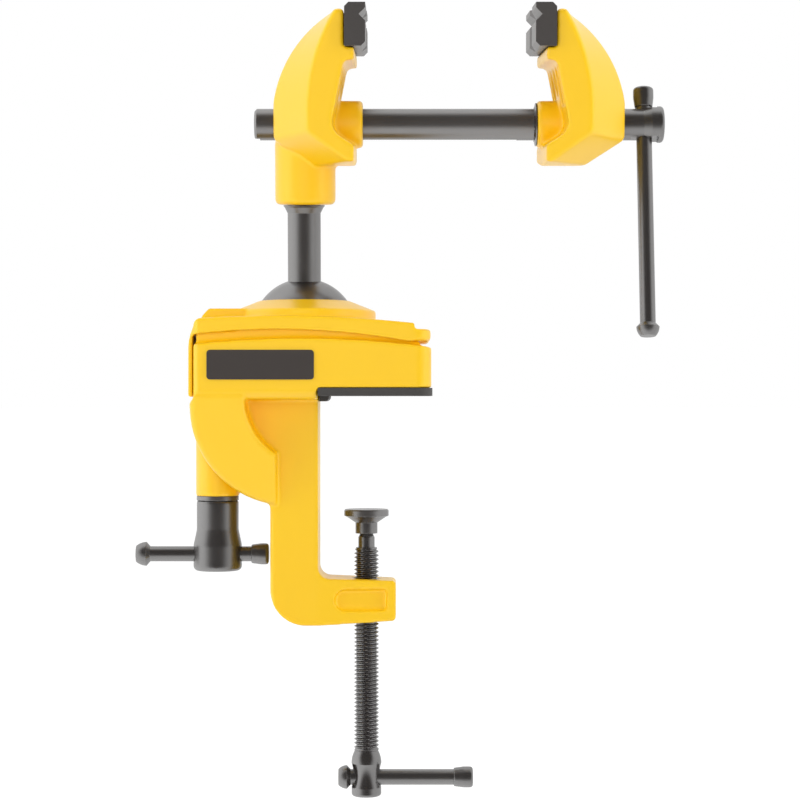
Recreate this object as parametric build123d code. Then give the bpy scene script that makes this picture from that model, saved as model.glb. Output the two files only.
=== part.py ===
from build123d import *
import math
import os

# Clamp-on bench vise with a ball joint. Millimetres, +Z up, the bench top is Z = 0.
# The origin lies on the clamp screw's axis, in the plane of the bench pad's underside.

# ---- fits -------------------------------------------------------------------------
running = 0.05          # radial clearance of a shaft that turns or slides in its hole
snug = 0.02             # radial clearance of a piece that is pressed or screwed in place
seat_gap = 0.25         # air between a bolted-on piece and the casting beside it
ball_clearance = 0.08   # between the ball and the two rings that grip it
swing_gap = 0.6         # air around whatever swings or turns free of the casting
blind_gap = 0.6         # air beyond the end of a piece in a blind hole

# ---- T-handles --------------------------------------------------------------------
knob_inset = 0.6        # a knob's mouth is this much smaller in radius
knob_taper = 4.6        # and it has its full radius from here up
knob_rim = 1.3
knob_end = 1.5          # solid end beyond a knob's bore
head_inset = 1.7        # a rod's formed head is this much smaller at its end face
head_shoulder = 1.7     # and narrows to the rod over this length

# ---- ball joint -------------------------------------------------------------------
ball_x = -27.8          # ball axis, measured from the clamp screw
ball_z = 29.3           # ball centre above the bench
ball_radius = 23.5
ball_flat = 21.5        # the ball is turned flat this far below its centre
head_lean = 5.5         # degrees that the head leans towards -Y at rest
stem_radius = 7.4
stem_top = 78.0
collar_radius = 9.2     # flared collar just below the head's socket
collar_rise = 3.6       # height of the flare
collar_gap = 0.15       # between the collar and the socket
collar_lip = 0.5        # the flare's straight rim, and the bevel below it

seat_radius = 26.5      # friction ring under the ball
seat_bottom_drop = 15.5
seat_top_drop = 6.5

# ---- base casting -----------------------------------------------------------------
frame_left = -75.0
frame_right = 28.8
frame_half_width = 34.0
frame_under = 3.5       # underside of the casting where it lies on the bench pad
frame_crown = 25.1      # highest point of the casting's arched top edge
frame_crown_x = -28.2
frame_crown_radius = 428.0
corner_radius = 7.0     # upright corners at the right-hand end
left_bevel = 2.2
under_edge = -1.4       # the casting's underside on the leg's side of the bench pad
under_bevel = 3.0
lip_inset = 3.5         # the wall inside the groove stands back this far
lip_top = 31.0
lip_low_top = 28.7      # the same wall under the lock's ear
lip_left = -73.8
lip_right = 20.0
lip_step_x = -56.0
lip_clearance = 0.4
fulcrum_x = 21.3        # the cap rocks on a small block near its free end
fulcrum_length = 4.2

leg_inner = -21.2       # bench side of the leg
leg_width = 21.4
leg_half_depth = 14.0
leg_corner_radius = 16.0
leg_bevel = 1.4
leg_inner_radius = 4.9
arm_tip = 13.3
arm_tip_half_depth = 10.0
arm_top = -81.1
arm_bottom = -102.1
arm_tip_rise = 1.8
arm_tip_drop = 1.2      # the arm's top slopes down this much to the tip
arm_corner_radius = 1.8
arm_pocket_left = -14.0
arm_pocket_right = 9.3
arm_pocket_low = -95.6
arm_pocket_high = -86.2
arm_pocket_depth = 2.6

cheek_arc_radius = 42.8 # the cheeks' round outer edge
cheek_arc_z = -6.0
cheek_bulge = 1.8       # the round edge stands this far out past the casting's end
cheek_shoulder_z = -1.2 # and starts here, below the cap's skirt
cheek_narrow = -50.5    # height where the cheeks would be as narrow as the leg
cheek_foot_half_depth = 15.2
cheek_wall = 7.5
cheek_rib = 5.0
cheek_round = 3.2       # along the round edge
cheek_inner_round = 1.2
cheek_inner_top = -52.8 # inner edge below the housing, and at the foot
cheek_inner_foot = -39.5
cheek_curve_top = -1.8  # the inner edge's round stretch
cheek_curve_x = -49.6
cheek_curve_z = -14.2
cheek_curve_foot = -25.2
gusset_left = -57.0     # web between the cheeks, as deep as the leg
gusset_setback = 3.0    # web's edge inside the cheeks' round edge

# ---- cap --------------------------------------------------------------------------
cap_right = 28.5
cap_step_x = 21.5       # where the cap's top drops to its thin free end
cap_left_round = 3.4
cap_end_top = 29.2
cap_end_under = 24.0    # level underside of the free end
cap_end_round = 1.4
cap_crown = 34.9
cap_crown_radius = 560.0
cap_edge = 29.0         # highest point of the cap's arched lower edge
cap_edge_x = -38.0
cap_edge_radius = 310.0
ring_outer = 32.0
ring_base = 33.0
ring_rim = 38.0
ring_top = 43.0
ring_mouth = 19.3
ear_half_width = 20.0
ear_top = 38.6
ear_right = -46.0
skirt_outer = -77.3
skirt_thickness = 1.9
skirt_half_width = 31.0
skirt_bottom = -0.5
skirt_top = 21.0        # the skirt's outer face runs up to here, then rounds into the ear
ear_round_x = -74.9
ear_round_z = 30.7
ear_crown_left = -69.2
ear_hip = 26.5
ear_root = 29.6

# ---- bench pad and name plate place -----------------------------------------------
pad_left = -20.6
pad_right = 29.3
pad_lip_right = -16.4
pad_lip_drop = 2.4
pad_lip_round = 2.0
plate_left = -68.9
plate_right = -22.3
plate_low = 7.1
plate_high = 20.0
plate_thickness = 0.6
plate_corner = 1.5

# ---- head: jaws on a slide bar ------------------------------------------------------
bar_height = 92.1       # slide bar axis above the ball centre, along the stem
fixed_face = 28.0       # fixed jaw's working face from the ball axis
jaw_opening = 73.0
jaw_half_width = 34.0
spine_half_width = 12.5
boss_radius = 10.5
fixed_boss_reach = 1.5  # each boss ends this far behind its jaw's working face
moving_boss_reach = 2.6
socket_radius = 13.5
socket_shift = 0.6       # the socket's outside stands this far towards the jaw's face
socket_bottom = 56.5
socket_round = 2.2
socket_top = 96.0       # the socket runs up into the jaw's back

jaw_pad_thickness = 9.0
jaw_pad_height = 18.5
jaw_pad_length = 73.0
jaw_pad_base = 32.4     # pad's lower face above the bar axis
pad_vee_height = 45.8   # long V groove above the bar axis
pad_vee = 2.8
pad_cross_vee_half = 8.0
pad_cross_vee = 2.4
pad_chamfer = 1.8
peg_radius = 3.0
peg_length = 6.0
peg_spacing = 40.0
peg_rise = 8.3          # pegs above the pad's lower face

# jaw castings: distances behind the working face, heights above the bar axis
jaw_toe = 5.0           # face of the lower lip
jaw_lip_high = -9.6     # top of the lower lip
throat_deep = 15.2      # deepest corner of the throat, before it is rounded
throat_low = -3.3
throat_top_deep = 9.2
throat_top = 26.6
throat_round = 7.0
throat_top_round = 2.5
ledge_reach = 4.9       # ledge under the pad
jaw_top = 48.5
jaw_top_bevel = 0.9
jaw_top_round = 1.5
jaw_back_round = 3.5
spine_top_deep = 14.8   # outline along the middle of the jaw
spine_mid_deep = 33.2
spine_mid_height = 30.3
spine_back = 40.9
spine_back_high = 9.0
spine_back_low = -7.0
spine_foot_deep = 23.4
spine_foot = -18.2
end_top_deep = 13.2     # outline at the jaw's two ends
end_mid_deep = 21.7
end_mid_height = 28.4
end_back = 25.0
end_back_high = 7.0
end_back_low = -4.0
end_foot_deep = 6.8
end_foot = -16.9
jaw_ridge_round = 1.6   # where the end faces turn into the back
jaw_ridge_from = 14.5   # along the edges centred behind here
boss_chamfer = 0.9

core_wall = 3.0         # end walls of the cored slots in each jaw
core_rib = 2.5
core_pitch = 16.5
core_low = 7.4          # slots from here to core_high above the bar axis
core_high = 24.5
core_boss_low = 12.6    # the middle slot stays clear of the boss
core_deep = 30.0
core_mid_deep = 25.0
core_end_deep = 19.5

# ---- slide bar, lead screw and nut --------------------------------------------------
tube_radius = 7.0
tube_bore = 5.2
tube_left_reach = 49.8  # tube's free end behind the fixed working face
tube_seat = 27.0        # tube's other end behind the moving working face
tube_end_chamfer = 1.0
tube_notch = 0.75
tube_notch_length = 2.4
lead_radius = 4.0
lead_stub = 22.0        # lead screw's free end behind the fixed working face
nut_length = 16.0
nut_front = 3.4         # nut's front end behind the fixed working face
key_radius = 2.0
key_setback = 8.4       # key pin's axis behind the fixed working face
key_slot_gap = 0.3
clip_radius = 4.9
clip_thickness = 1.0
clip_groove = 0.8
clip_side_gap = 0.1     # air beside the clip, and under the hub's face
clip_gap = 3.2          # the clip's open end
lead_lead_in = 0.8      # chamfer on the screw's free end
star_ring_radius = 9.8
star_ring_thickness = 0.7
star_ring_dish = 1.1

hub_length = 18.3
hub_neck = 7.0
hub_swell = 8.1
hub_neck_length = 9.2
hub_swell_start = 12.8
hub_rim = 1.6
hub_flat_half = 6.0     # flats milled around the cross hole
hub_flat_depth = 0.4
hub_cross_hole = 9.7    # cross hole from the hub's inner face
jaw_bar_radius = 3.45
jaw_bar_up = 17.0
jaw_bar_down = 96.2
jaw_knob_radius = 4.55
jaw_knob_length = 9.3
jaw_head_radius = 5.1
jaw_head_length = 5.8
bar_swing = 10.0        # degrees that the cross bar hangs towards the front at rest

# ---- bench clamp screw --------------------------------------------------------------
clamp_radius = 5.55
clamp_thread_top = -68.0
clamp_thread_bottom = -159.3
clamp_thread_depth = 0.9
clamp_lead_in = 2.2     # the thread starts over this length
tip_shoulder = 1.8
tip_radius = 3.7
tip_top = -63.5
tip_neck = 2.8
tip_ball = 3.4
tip_ball_z = -57.6
swivel_top = -50.9
swivel_radius = 10.0
swivel_rim = 3.4
swivel_cone_bottom = -56.9
swivel_neck = 4.95
swivel_bottom = -61.7
swivel_cone_inset = 1.2
swivel_edge = 0.5
swivel_neck_gap = 0.25
clamp_hub_bottom = -179.8
clamp_hub_foot = 6.7    # radii of the waisted hub, and how far up it they lie
clamp_hub_waist = 5.85
clamp_hub_shoulder = 6.85
clamp_hub_neck = 5.25
clamp_hub_rim = 1.3
clamp_foot_rise = 4.0
clamp_waist_rise = 9.8
clamp_shoulder_rise = 14.8
clamp_bar_rise = 8.4    # cross hole above the hub's foot
clamp_bar_radius = 3.5
clamp_bar_left = -12.6
clamp_bar_right = 47.9
clamp_head_radius = 5.3
clamp_head_length = 5.5
clamp_knob_radius = 4.7
clamp_knob_length = 8.8

# ---- ball lock ----------------------------------------------------------------------
lock_setback = 8.1      # lock's axis from the casting's end
lock_boss_radius = 9.75
lock_boss_bottom = -44.9
lock_bolt_radius = 4.0
lock_hole = 4.5
lock_nut_flats = 13.0
lock_nut_height = 5.0
lock_nut_floor = 31.6
lock_bolt_reach = 0.9   # the bolt ends this far past the nut
washer_thickness = 1.9
washer_radius = 9.45
nut_rounding = 1.0      # the nut's corners are rounded over this height
nut_face_radius = 6.7
nut_corner_radius = 7.6
lock_hub_bottom = -78.5
lock_hub_radius = 10.9
lock_hub_rim = 2.2
lock_hub_top_radius = 9.4
lock_cone_low = 11.5    # the hub narrows between these heights above its end
lock_cone_high = 18.5
lock_hub_chamfer = 0.6
lock_bar_rise = 7.5     # cross hole above the hub's foot
lock_bar_radius = 3.4
lock_bar_left = -103.5
lock_bar_right = -43.9
lock_head_radius = 5.4
lock_head_length = 6.3
lock_knob_radius = 4.8
lock_knob_length = 7.9

# ---- worked-out places --------------------------------------------------------------
leg_outer = leg_inner - leg_width
lock_x = frame_left + lock_setback
clamp_bar_z = clamp_hub_bottom + clamp_bar_rise
lock_bar_z = lock_hub_bottom + lock_bar_rise
cheek_arc_x = frame_left - cheek_bulge + cheek_arc_radius
moving_face = fixed_face + jaw_opening
head_frame = Pos(ball_x, 0, ball_z) * Rot(head_lean, 0, 0)
jaw_pad_top = jaw_pad_base + jaw_pad_height
pad_seat = jaw_pad_thickness + seat_gap
ledge_top = jaw_pad_base - seat_gap
hub_face = moving_face + spine_back
tube_left = fixed_face - tube_left_reach
tube_right = moving_face + tube_seat


def xz(point):
    return (point[0], 0, point[1])


def turned(profile):
    """A solid turned about Z. Each item is a corner (radius, height), or a round stretch
    (middle radius, middle height, end radius, end height)."""
    edges, start = [], profile[-1][-2:]
    for item in profile:
        end = item[-2:]
        if len(item) == 4:
            edges.append(ThreePointArc(xz(start), xz(item[:2]), xz(end)))
        else:
            edges.append(Line(xz(start), xz(end)))
        start = end
    return revolve(xz_face(edges), Axis.Z)


def rim_up(radius, height, rim):
    """The quarter-round stretch from a flat end at this height up onto the side."""
    slack = rim * (1 - math.sqrt(0.5))
    return (radius - slack, height + slack, radius, height + rim)


def rim_over(radius, height, rim):
    """The quarter-round stretch from the side over onto a flat end at this height."""
    slack = rim * (1 - math.sqrt(0.5))
    return (radius - slack, height - slack, radius - rim, height)


def along_x(shape, x, y=0, z=0):
    """Lays a piece built along +Z along +X, starting at the given point."""
    return Plane(origin=(x, y, z), x_dir=(0, 1, 0), z_dir=(1, 0, 0)).location * shape


def rod(radius, low, high):
    """A round bar on the Z axis between two heights."""
    return Pos(0, 0, (low + high) / 2) * Cylinder(radius, high - low)


def slab(outline, half_depth):
    """An outline of (x, z) points or edges, carried to both sides of Y = 0."""
    return extrude(outline, amount=half_depth, both=True)


def xz_face(edges):
    return make_face(Curve() + edges)


def flat_outline(points):
    """A closed straight-sided face in the XZ plane from (x, z) points."""
    return make_face(Polyline(*[(x, 0, z) for x, z in points], close=True))


def box(x0, x1, y0, y1, z0, z1):
    size = Box(x1 - x0, y1 - y0, z1 - z0)
    return Pos((x0 + x1) / 2, (y0 + y1) / 2, (z0 + z1) / 2) * size


def arch(x, crown, crown_x, radius):
    """Height of a long flat arch at x."""
    return crown - radius + math.sqrt(radius ** 2 - (x - crown_x) ** 2)


def barrel(radius, length, bore):
    """A pressed handle knob, narrower at its mouth and bored from there."""
    body = turned([(0, 0), (radius - knob_inset, 0), (radius, knob_taper),
                   (radius, length - knob_rim), rim_over(radius, length, knob_rim), (0, length)])
    return body - rod(bore, -1, length - knob_end)


def handle_rod(radius, length, head_radius, head_length):
    """A T-handle's rod from its formed, mushroom-shaped head at Z = 0 upwards."""
    widest = head_length - head_shoulder
    return turned([(0, 0), (head_radius - head_inset, 0),
                   (head_radius - head_inset * 0.3, widest * 0.45, head_radius, widest),
                   (radius, head_length), (radius, length), (0, length)])


# ---- base --------------------------------------------------------------------------
def arched_block(left, right, low, crown, crown_x, radius, half_width):
    """A block with a flat underside and a gently arched top."""
    middle = (left + right) / 2
    top_left = (left, 0, arch(left, crown, crown_x, radius))
    top_middle = (middle, 0, arch(middle, crown, crown_x, radius))
    top_right = (right, 0, arch(right, crown, crown_x, radius))
    edges = [Line((left, 0, low), (right, 0, low)), Line((right, 0, low), top_right),
             ThreePointArc(top_right, top_middle, top_left), Line(top_left, (left, 0, low))]
    return slab(xz_face(edges), half_width)


def housing():
    """The block that carries the ball, with rounded and bevelled corners."""
    shape = arched_block(frame_left, frame_right, frame_under, frame_crown, frame_crown_x,
                         frame_crown_radius, frame_half_width)
    uprights = shape.edges().filter_by(Axis.Z)
    shape = fillet(uprights.group_by(Axis.X)[-1], corner_radius)
    uprights = shape.edges().filter_by(Axis.Z)
    shape = chamfer(uprights.group_by(Axis.X)[0], left_bevel)
    foot = box(frame_left, leg_inner, -frame_half_width, frame_half_width, under_edge,
               frame_under + 1)
    foot = chamfer(foot.edges().filter_by(Axis.X).group_by(Axis.Z)[0], under_bevel)
    foot = chamfer(foot.edges().filter_by(Axis.Z).group_by(Axis.X)[0], left_bevel)
    return shape + foot


def on_cheek_arc(angle):
    turn = math.radians(angle)
    return (cheek_arc_x + cheek_arc_radius * math.cos(turn), 0,
            cheek_arc_z + cheek_arc_radius * math.sin(turn))


def cheek_outline():
    """The round-edged web below the housing, straight-sided above its arc."""
    foot_angle = 180 + math.degrees(math.acos((cheek_arc_x - cheek_inner_foot) / cheek_arc_radius))
    start, middle, end = [on_cheek_arc(angle) for angle in (180, (180 + foot_angle) / 2, foot_angle)]
    curl = (cheek_inner_foot, 0, cheek_curve_foot)
    curve_end = (cheek_inner_top, 0, cheek_curve_top)
    inner_corner = (cheek_inner_top, 0, 0)
    corner = (start[0], 0, 0)
    return xz_face([Line(corner, start), ThreePointArc(start, middle, end), Line(end, curl),
                    ThreePointArc(curl, (cheek_curve_x, 0, cheek_curve_z), curve_end),
                    Line(curve_end, inner_corner), Line(inner_corner, corner)])


def cheek_envelope(inset):
    """The wedge that narrows the cheeks from the housing down to the leg."""
    wide = frame_half_width - inset
    narrow = cheek_foot_half_depth - inset
    outline = Polyline((0, -wide, 0), (0, wide, 0), (0, narrow, cheek_narrow),
                       (0, -narrow, cheek_narrow), close=True)
    left = frame_left - 2 * cheek_bulge
    wedge = extrude(make_face(outline), amount=leg_inner - left, dir=(-1, 0, 0))
    return Pos(leg_inner, 0, 0) * wedge


def cheeks():
    """Two cheeks joined by a rib, round-edged and narrowing to the leg."""
    left = frame_left - 2 * cheek_bulge
    shape = slab(cheek_outline(), frame_half_width) & cheek_envelope(0)
    arcs = shape.edges().filter_by(GeomType.ELLIPSE).sort_by(SortBy.LENGTH)
    shape = fillet(arcs[-2:], cheek_round)
    arcs = shape.edges().filter_by(GeomType.ELLIPSE)
    inner = arcs.sort_by_distance((cheek_curve_x, 0, cheek_curve_z))
    shape = fillet(inner[:2], cheek_inner_round)
    shoulder_drop = frame_left - left
    above = flat_outline([(left, 1), (frame_left, 1), (frame_left, cheek_shoulder_z),
                          (left, cheek_shoulder_z - shoulder_drop)])
    below = box(left, gusset_left, -frame_half_width, frame_half_width, cheek_narrow, under_edge)
    hollow = cheek_envelope(cheek_wall) & below
    hollow -= box(left, gusset_left, -cheek_rib / 2, cheek_rib / 2, cheek_narrow, 0)
    return shape - slab(above, frame_half_width) - hollow


def gusset():
    """The web that fills the corner between the cheeks and the leg."""
    disc = Pos(cheek_arc_x, 0, cheek_arc_z) * Rot(90, 0, 0) * Cylinder(
        cheek_arc_radius - gusset_setback, 2 * leg_half_depth)
    corner = box(gusset_left, leg_outer + leg_corner_radius, -leg_half_depth, leg_half_depth,
                 cheek_narrow, 0)
    return disc & corner


def leg_and_arm():
    """The C of the clamp below the housing, with its tapered arm and pocket."""
    tip_low = arm_bottom + arm_tip_rise
    tip_high = arm_top - arm_tip_drop
    outline = flat_outline([(leg_outer, frame_under + 1), (leg_inner, frame_under + 1),
                            (leg_inner, arm_top), (arm_tip, tip_high), (arm_tip, tip_low),
                            (leg_inner, arm_bottom), (leg_outer, arm_bottom)])
    shape = slab(outline, leg_half_depth)
    across = shape.edges().filter_by(Axis.Y)
    outer_corner = across.sort_by_distance((leg_outer, 0, arm_bottom))[0]
    shape = fillet(outer_corner, leg_corner_radius)
    across = shape.edges().filter_by(Axis.Y)
    shape = fillet(across.sort_by_distance((leg_inner, 0, arm_top))[0], leg_inner_radius)
    shape = fillet(shape.edges().filter_by(Axis.Y).group_by(Axis.X)[-1], arm_corner_radius)
    bare = box(leg_outer, leg_outer + leg_bevel, -leg_half_depth, leg_half_depth,
               arm_bottom, cheek_narrow)
    edge = bare & chamfer(shape.edges().filter_by(Axis.Z).group_by(Axis.X)[0], leg_bevel)
    shape = shape - bare + edge
    for side in (-1, 1):
        shape -= arm_taper(side, 0)
        shape -= arm_pocket(side)
    return shape - rod(clamp_radius + running, arm_bottom - 5, arm_top + 5)


def arm_taper(side, inset):
    """The space outside the arm's side, which narrows towards the tip, or further in."""
    outer = side * (leg_half_depth + 5)
    at_leg = side * (leg_half_depth - inset)
    at_tip = side * (arm_tip_half_depth - inset)
    outline = Polyline((leg_inner, at_leg), (arm_tip, at_tip), (arm_tip + 1, at_tip),
                       (arm_tip + 1, outer), (leg_inner, outer), close=True)
    return Pos(0, 0, arm_bottom - 5) * extrude(make_face(outline), amount=arm_top - arm_bottom + 10)


def arm_pocket(side):
    """The shallow pocket with a half-round end on the arm's side."""
    height = arm_pocket_high - arm_pocket_low
    middle = (arm_pocket_high + arm_pocket_low) / 2
    outline = flat_outline([(arm_pocket_left + height / 2, arm_pocket_low),
                            (arm_pocket_right, arm_pocket_low),
                            (arm_pocket_right, arm_pocket_high),
                            (arm_pocket_left + height / 2, arm_pocket_high)])
    cut = extrude(outline, amount=leg_half_depth, dir=(0, side, 0))
    cut += Pos(arm_pocket_left + height / 2, side * leg_half_depth / 2, middle) * (
        Rot(90, 0, 0) * Cylinder(height / 2, leg_half_depth))
    return cut & arm_taper(side, arm_pocket_depth)


def lock_boss():
    """The long tube that the lock bolt passes through."""
    return Pos(lock_x, 0, 0) * rod(lock_boss_radius, lock_boss_bottom, cheek_shoulder_z)


def inner_lip():
    """The set-back wall that reaches up into the cap."""
    half = frame_half_width - lip_inset
    low = frame_under + 10
    wall = box(lip_step_x, lip_right, -half, half, low, lip_top)
    wall += box(lip_left, lip_step_x, -half, half, low, lip_low_top)
    block_right = fulcrum_x + fulcrum_length / 2
    wall += box(lip_right - 1, block_right, -half, half, low, cap_end_under - snug)
    return wall


def clamp_frame():
    shape = housing() + inner_lip() + leg_and_arm() + cheeks() + gusset() + lock_boss()
    seat_floor = ball_z - seat_bottom_drop
    shape -= Pos(ball_x, 0, 0) * rod(seat_radius + 2 * running, seat_floor, lip_top + 1)
    shape -= Pos(ball_x, 0, ball_z) * Sphere(ball_radius + swing_gap)
    shape -= Pos(lock_x, 0, 0) * rod(lock_hole, lock_boss_bottom - 1, lip_top + 1)
    return shape - Pos(lock_x, 0, 0) * rod(lock_hub_radius + swing_gap, lock_hub_bottom,
                                           lock_boss_bottom)


def cap_plate():
    """The cap's arched plate, thinner at its free end."""
    top = arched_block(frame_left, cap_step_x, frame_under, cap_crown, cap_edge_x,
                       cap_crown_radius, frame_half_width)
    top = chamfer(top.edges().filter_by(Axis.Z).group_by(Axis.X)[0], left_bevel)
    high = top.edges().filter_by(Axis.Y).sort_by_distance((frame_left, 0, cap_crown))[0]
    top = fillet(high, cap_left_round)
    end = box(cap_step_x - corner_radius, cap_right, -frame_half_width, frame_half_width,
              cap_end_under, cap_end_top)
    end = fillet(end.edges().filter_by(Axis.Z).group_by(Axis.X)[-1], corner_radius)
    flats = end.faces().filter_by(Axis.Z)
    end = fillet(flats.edges() - flats.edges().group_by(Axis.X)[0], cap_end_round)
    under = arched_block(frame_left - 5, cap_right, 0, cap_edge, cap_edge_x,
                         cap_edge_radius, frame_half_width + 5)
    level = box(frame_left - 5, cap_right, -frame_half_width, frame_half_width, 0, cap_end_under)
    return top + end - under - level


def cap_end_outline():
    """The ear and skirt seen from the side."""
    skirt_inner = skirt_outer + skirt_thickness
    crown_left = (ear_crown_left, 0, ear_top)
    shoulder = (ear_round_x, 0, ear_round_z)
    skirt_high = (skirt_outer, 0, skirt_top)
    corners = [skirt_high, (skirt_outer, 0, skirt_bottom), (skirt_inner, 0, skirt_bottom),
               (skirt_inner, 0, ear_hip), (ear_right, 0, ear_root), (ear_right, 0, ear_top),
               crown_left]
    edges = [Line(a, b) for a, b in zip(corners, corners[1:])]
    return xz_face(edges + [ThreePointArc(crown_left, shoulder, skirt_high)])


def cap_ear():
    """The raised ear over the lock bolt, and the wider skirt down the end of the base."""
    level = arched_block(skirt_outer, ear_right, skirt_bottom, cap_crown, cap_edge_x,
                         cap_crown_radius, skirt_half_width)
    return slab(cap_end_outline(), ear_half_width) + (
        slab(cap_end_outline(), skirt_half_width) & level)


def cap_ring():
    """The coned ring that closes over the ball."""
    ring = turned([(0, ring_base), (ring_outer, ring_base), (ring_outer, ring_rim),
                   (ring_mouth, ring_top), (0, ring_top)])
    return Pos(ball_x, 0, 0) * ring


def clamp_cap():
    half = frame_half_width - lip_inset + lip_clearance
    hollow = box(lip_step_x - lip_clearance, lip_right + lip_clearance, -half, half,
                 frame_under, lip_top + lip_clearance)
    hollow += box(lip_left - lip_clearance, lip_step_x, -half, half,
                  frame_under, lip_low_top + lip_clearance)
    shape = cap_plate() + cap_ear() + cap_ring() - hollow
    shape -= Pos(ball_x, 0, ball_z) * Sphere(ball_radius + ball_clearance)
    nut_pocket = extrude(nut_outline(lock_nut_flats / 2 + snug), amount=ear_top)
    shape -= Pos(lock_x, 0, lock_nut_floor) * nut_pocket
    return shape - Pos(lock_x, 0, 0) * rod(lock_hole, frame_crown, lock_nut_floor + 1)


def bench_pad():
    """The rubber pad under the base, turned down in the corner of the leg."""
    plate = box(pad_left, pad_right, -frame_half_width, frame_half_width, 0, frame_under)
    plate = fillet(plate.edges().filter_by(Axis.Z).group_by(Axis.X)[-1], corner_radius)
    lip = box(pad_left, pad_lip_right, -leg_half_depth, leg_half_depth, -pad_lip_drop, 1)
    low_edges = lip.edges().filter_by(Axis.Y).group_by(Axis.Z)[0]
    lip = fillet(low_edges.sort_by(Axis.X)[-1], pad_lip_round)
    return plate + lip


def front_plate():
    """A blank plate on the base's front."""
    width = plate_right - plate_left
    height = plate_high - plate_low
    blank = extrude(RectangleRounded(width, height, plate_corner), amount=plate_thickness)
    place = Plane(origin=((plate_left + plate_right) / 2, -frame_half_width,
                          (plate_low + plate_high) / 2), x_dir=(1, 0, 0), z_dir=(0, -1, 0))
    return place.location * blank


# ---- ball joint ----------------------------------------------------------------------
def ball_seat():
    """The friction ring that the ball turns in."""
    ring = rod(seat_radius, -seat_bottom_drop, -seat_top_drop)
    return Pos(ball_x, 0, ball_z) * (ring - Sphere(ball_radius + ball_clearance))


def ball_stem():
    """Ball and stem in one turned piece, flared below the head's socket."""
    ball = Sphere(ball_radius) & rod(ball_radius + 1, -ball_flat, ball_radius + 1)
    collar_top = socket_bottom - collar_gap
    stem = turned([(0, 0), (stem_radius, 0), (stem_radius, collar_top - collar_rise),
                   (collar_radius - collar_lip, collar_top - 2 * collar_lip),
                   (collar_radius, collar_top - collar_lip),
                   (collar_radius, collar_top), (stem_radius, collar_top),
                   (stem_radius, stem_top), (0, stem_top)])
    return head_frame * (ball + stem)


# ---- jaws ----------------------------------------------------------------------------
def jaw_section(y, top_deep, mid_deep, mid_height, back, back_high, back_low, foot_deep, foot):
    """A jaw's outline at one width: (distance behind the face, height above the bar)."""
    def at(deep, height):
        return (deep, y, height)

    throat_corner = at(throat_deep, throat_low)
    throat_top_corner = at(throat_top_deep, throat_top)
    top_corner = at(top_deep, jaw_top)
    back_corner = at(back, back_low)
    corners = [back_corner, at(foot_deep, foot), at(jaw_toe, foot), at(jaw_toe, jaw_lip_high),
               throat_corner, throat_top_corner, at(ledge_reach, throat_top),
               at(ledge_reach, ledge_top), at(pad_seat, ledge_top),
               at(pad_seat, jaw_top - jaw_top_bevel), at(pad_seat + jaw_top_bevel, jaw_top),
               top_corner]
    edges = [Line(a, b) for a, b in zip(corners, corners[1:])]
    back_top = at(back, back_high)
    edges += [ThreePointArc(top_corner, at(mid_deep, mid_height), back_top),
              Line(back_top, back_corner)]
    face = xz_face(edges)
    rounds = [(throat_corner, throat_round), (throat_top_corner, throat_top_round),
              (top_corner, jaw_top_round), (back_corner, jaw_back_round)]
    for corner, radius in rounds:
        face = fillet(face.vertices().sort_by_distance(corner)[0], radius)
    return face


def jaw_casting():
    """A jaw from its spine out to both ends, in (distance behind face, Y, height)."""
    spine = (spine_top_deep, spine_mid_deep, spine_mid_height, spine_back, spine_back_high,
             spine_back_low, spine_foot_deep, spine_foot)
    end = (end_top_deep, end_mid_deep, end_mid_height, end_back, end_back_high, end_back_low,
           end_foot_deep, end_foot)
    shape = extrude(jaw_section(-spine_half_width, *spine), amount=2 * spine_half_width,
                    dir=(0, 1, 0))
    for side in (-1, 1):
        inner = jaw_section(side * spine_half_width, *spine)
        outer = jaw_section(side * jaw_half_width, *end)
        wing = loft([inner, outer], ruled=True)
        rim = wing.edges().group_by(Axis.Y)[-1 if side > 0 else 0]
        ridge = [edge for edge in rim if edge.center().X > jaw_ridge_from]
        shape += fillet(ridge, jaw_ridge_round)
    return shape


def core_slot(y, width, low, depth):
    """One cored slot: a round-ended opening cut back from the throat."""
    height = core_high - low
    opening = RectangleRounded(width, height, min(width, height) * 0.45)
    place = Plane(origin=(jaw_toe, y, (core_high + low) / 2), x_dir=(0, 1, 0), z_dir=(1, 0, 0))
    return place.location * extrude(opening, amount=depth - jaw_toe)


def core_slots():
    """The row of slots between the thin ribs behind the throat."""
    width = core_pitch - core_rib
    end_edge = 1.5 * core_pitch + core_rib / 2
    end_width = jaw_half_width - core_wall - end_edge
    slots = core_slot(0, width, core_boss_low, core_deep)
    for side in (-1, 1):
        slots += core_slot(side * core_pitch, width, core_low, core_mid_deep)
        slots += core_slot(side * (end_edge + end_width / 2), end_width, core_low, core_end_deep)
    return slots


def peg_holes():
    """Two blind holes for a jaw pad's pegs."""
    holes = Part()
    for side in (-1, 1):
        peg = rod(peg_radius + snug, 0, peg_length + seat_gap + blind_gap)
        holes += along_x(peg, pad_seat - 0.5, side * peg_spacing / 2,
                         jaw_pad_base + peg_rise)
    return holes


def jaw_body(boss_reach):
    """What both jaws share: casting, slide boss, cored slots and peg holes."""
    boss = turned([(0, boss_reach), (boss_radius - boss_chamfer, boss_reach),
                   (boss_radius, boss_reach + boss_chamfer), (boss_radius, core_deep),
                   (0, core_deep)])
    return jaw_casting() + along_x(boss, 0) - core_slots() - peg_holes()


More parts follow.
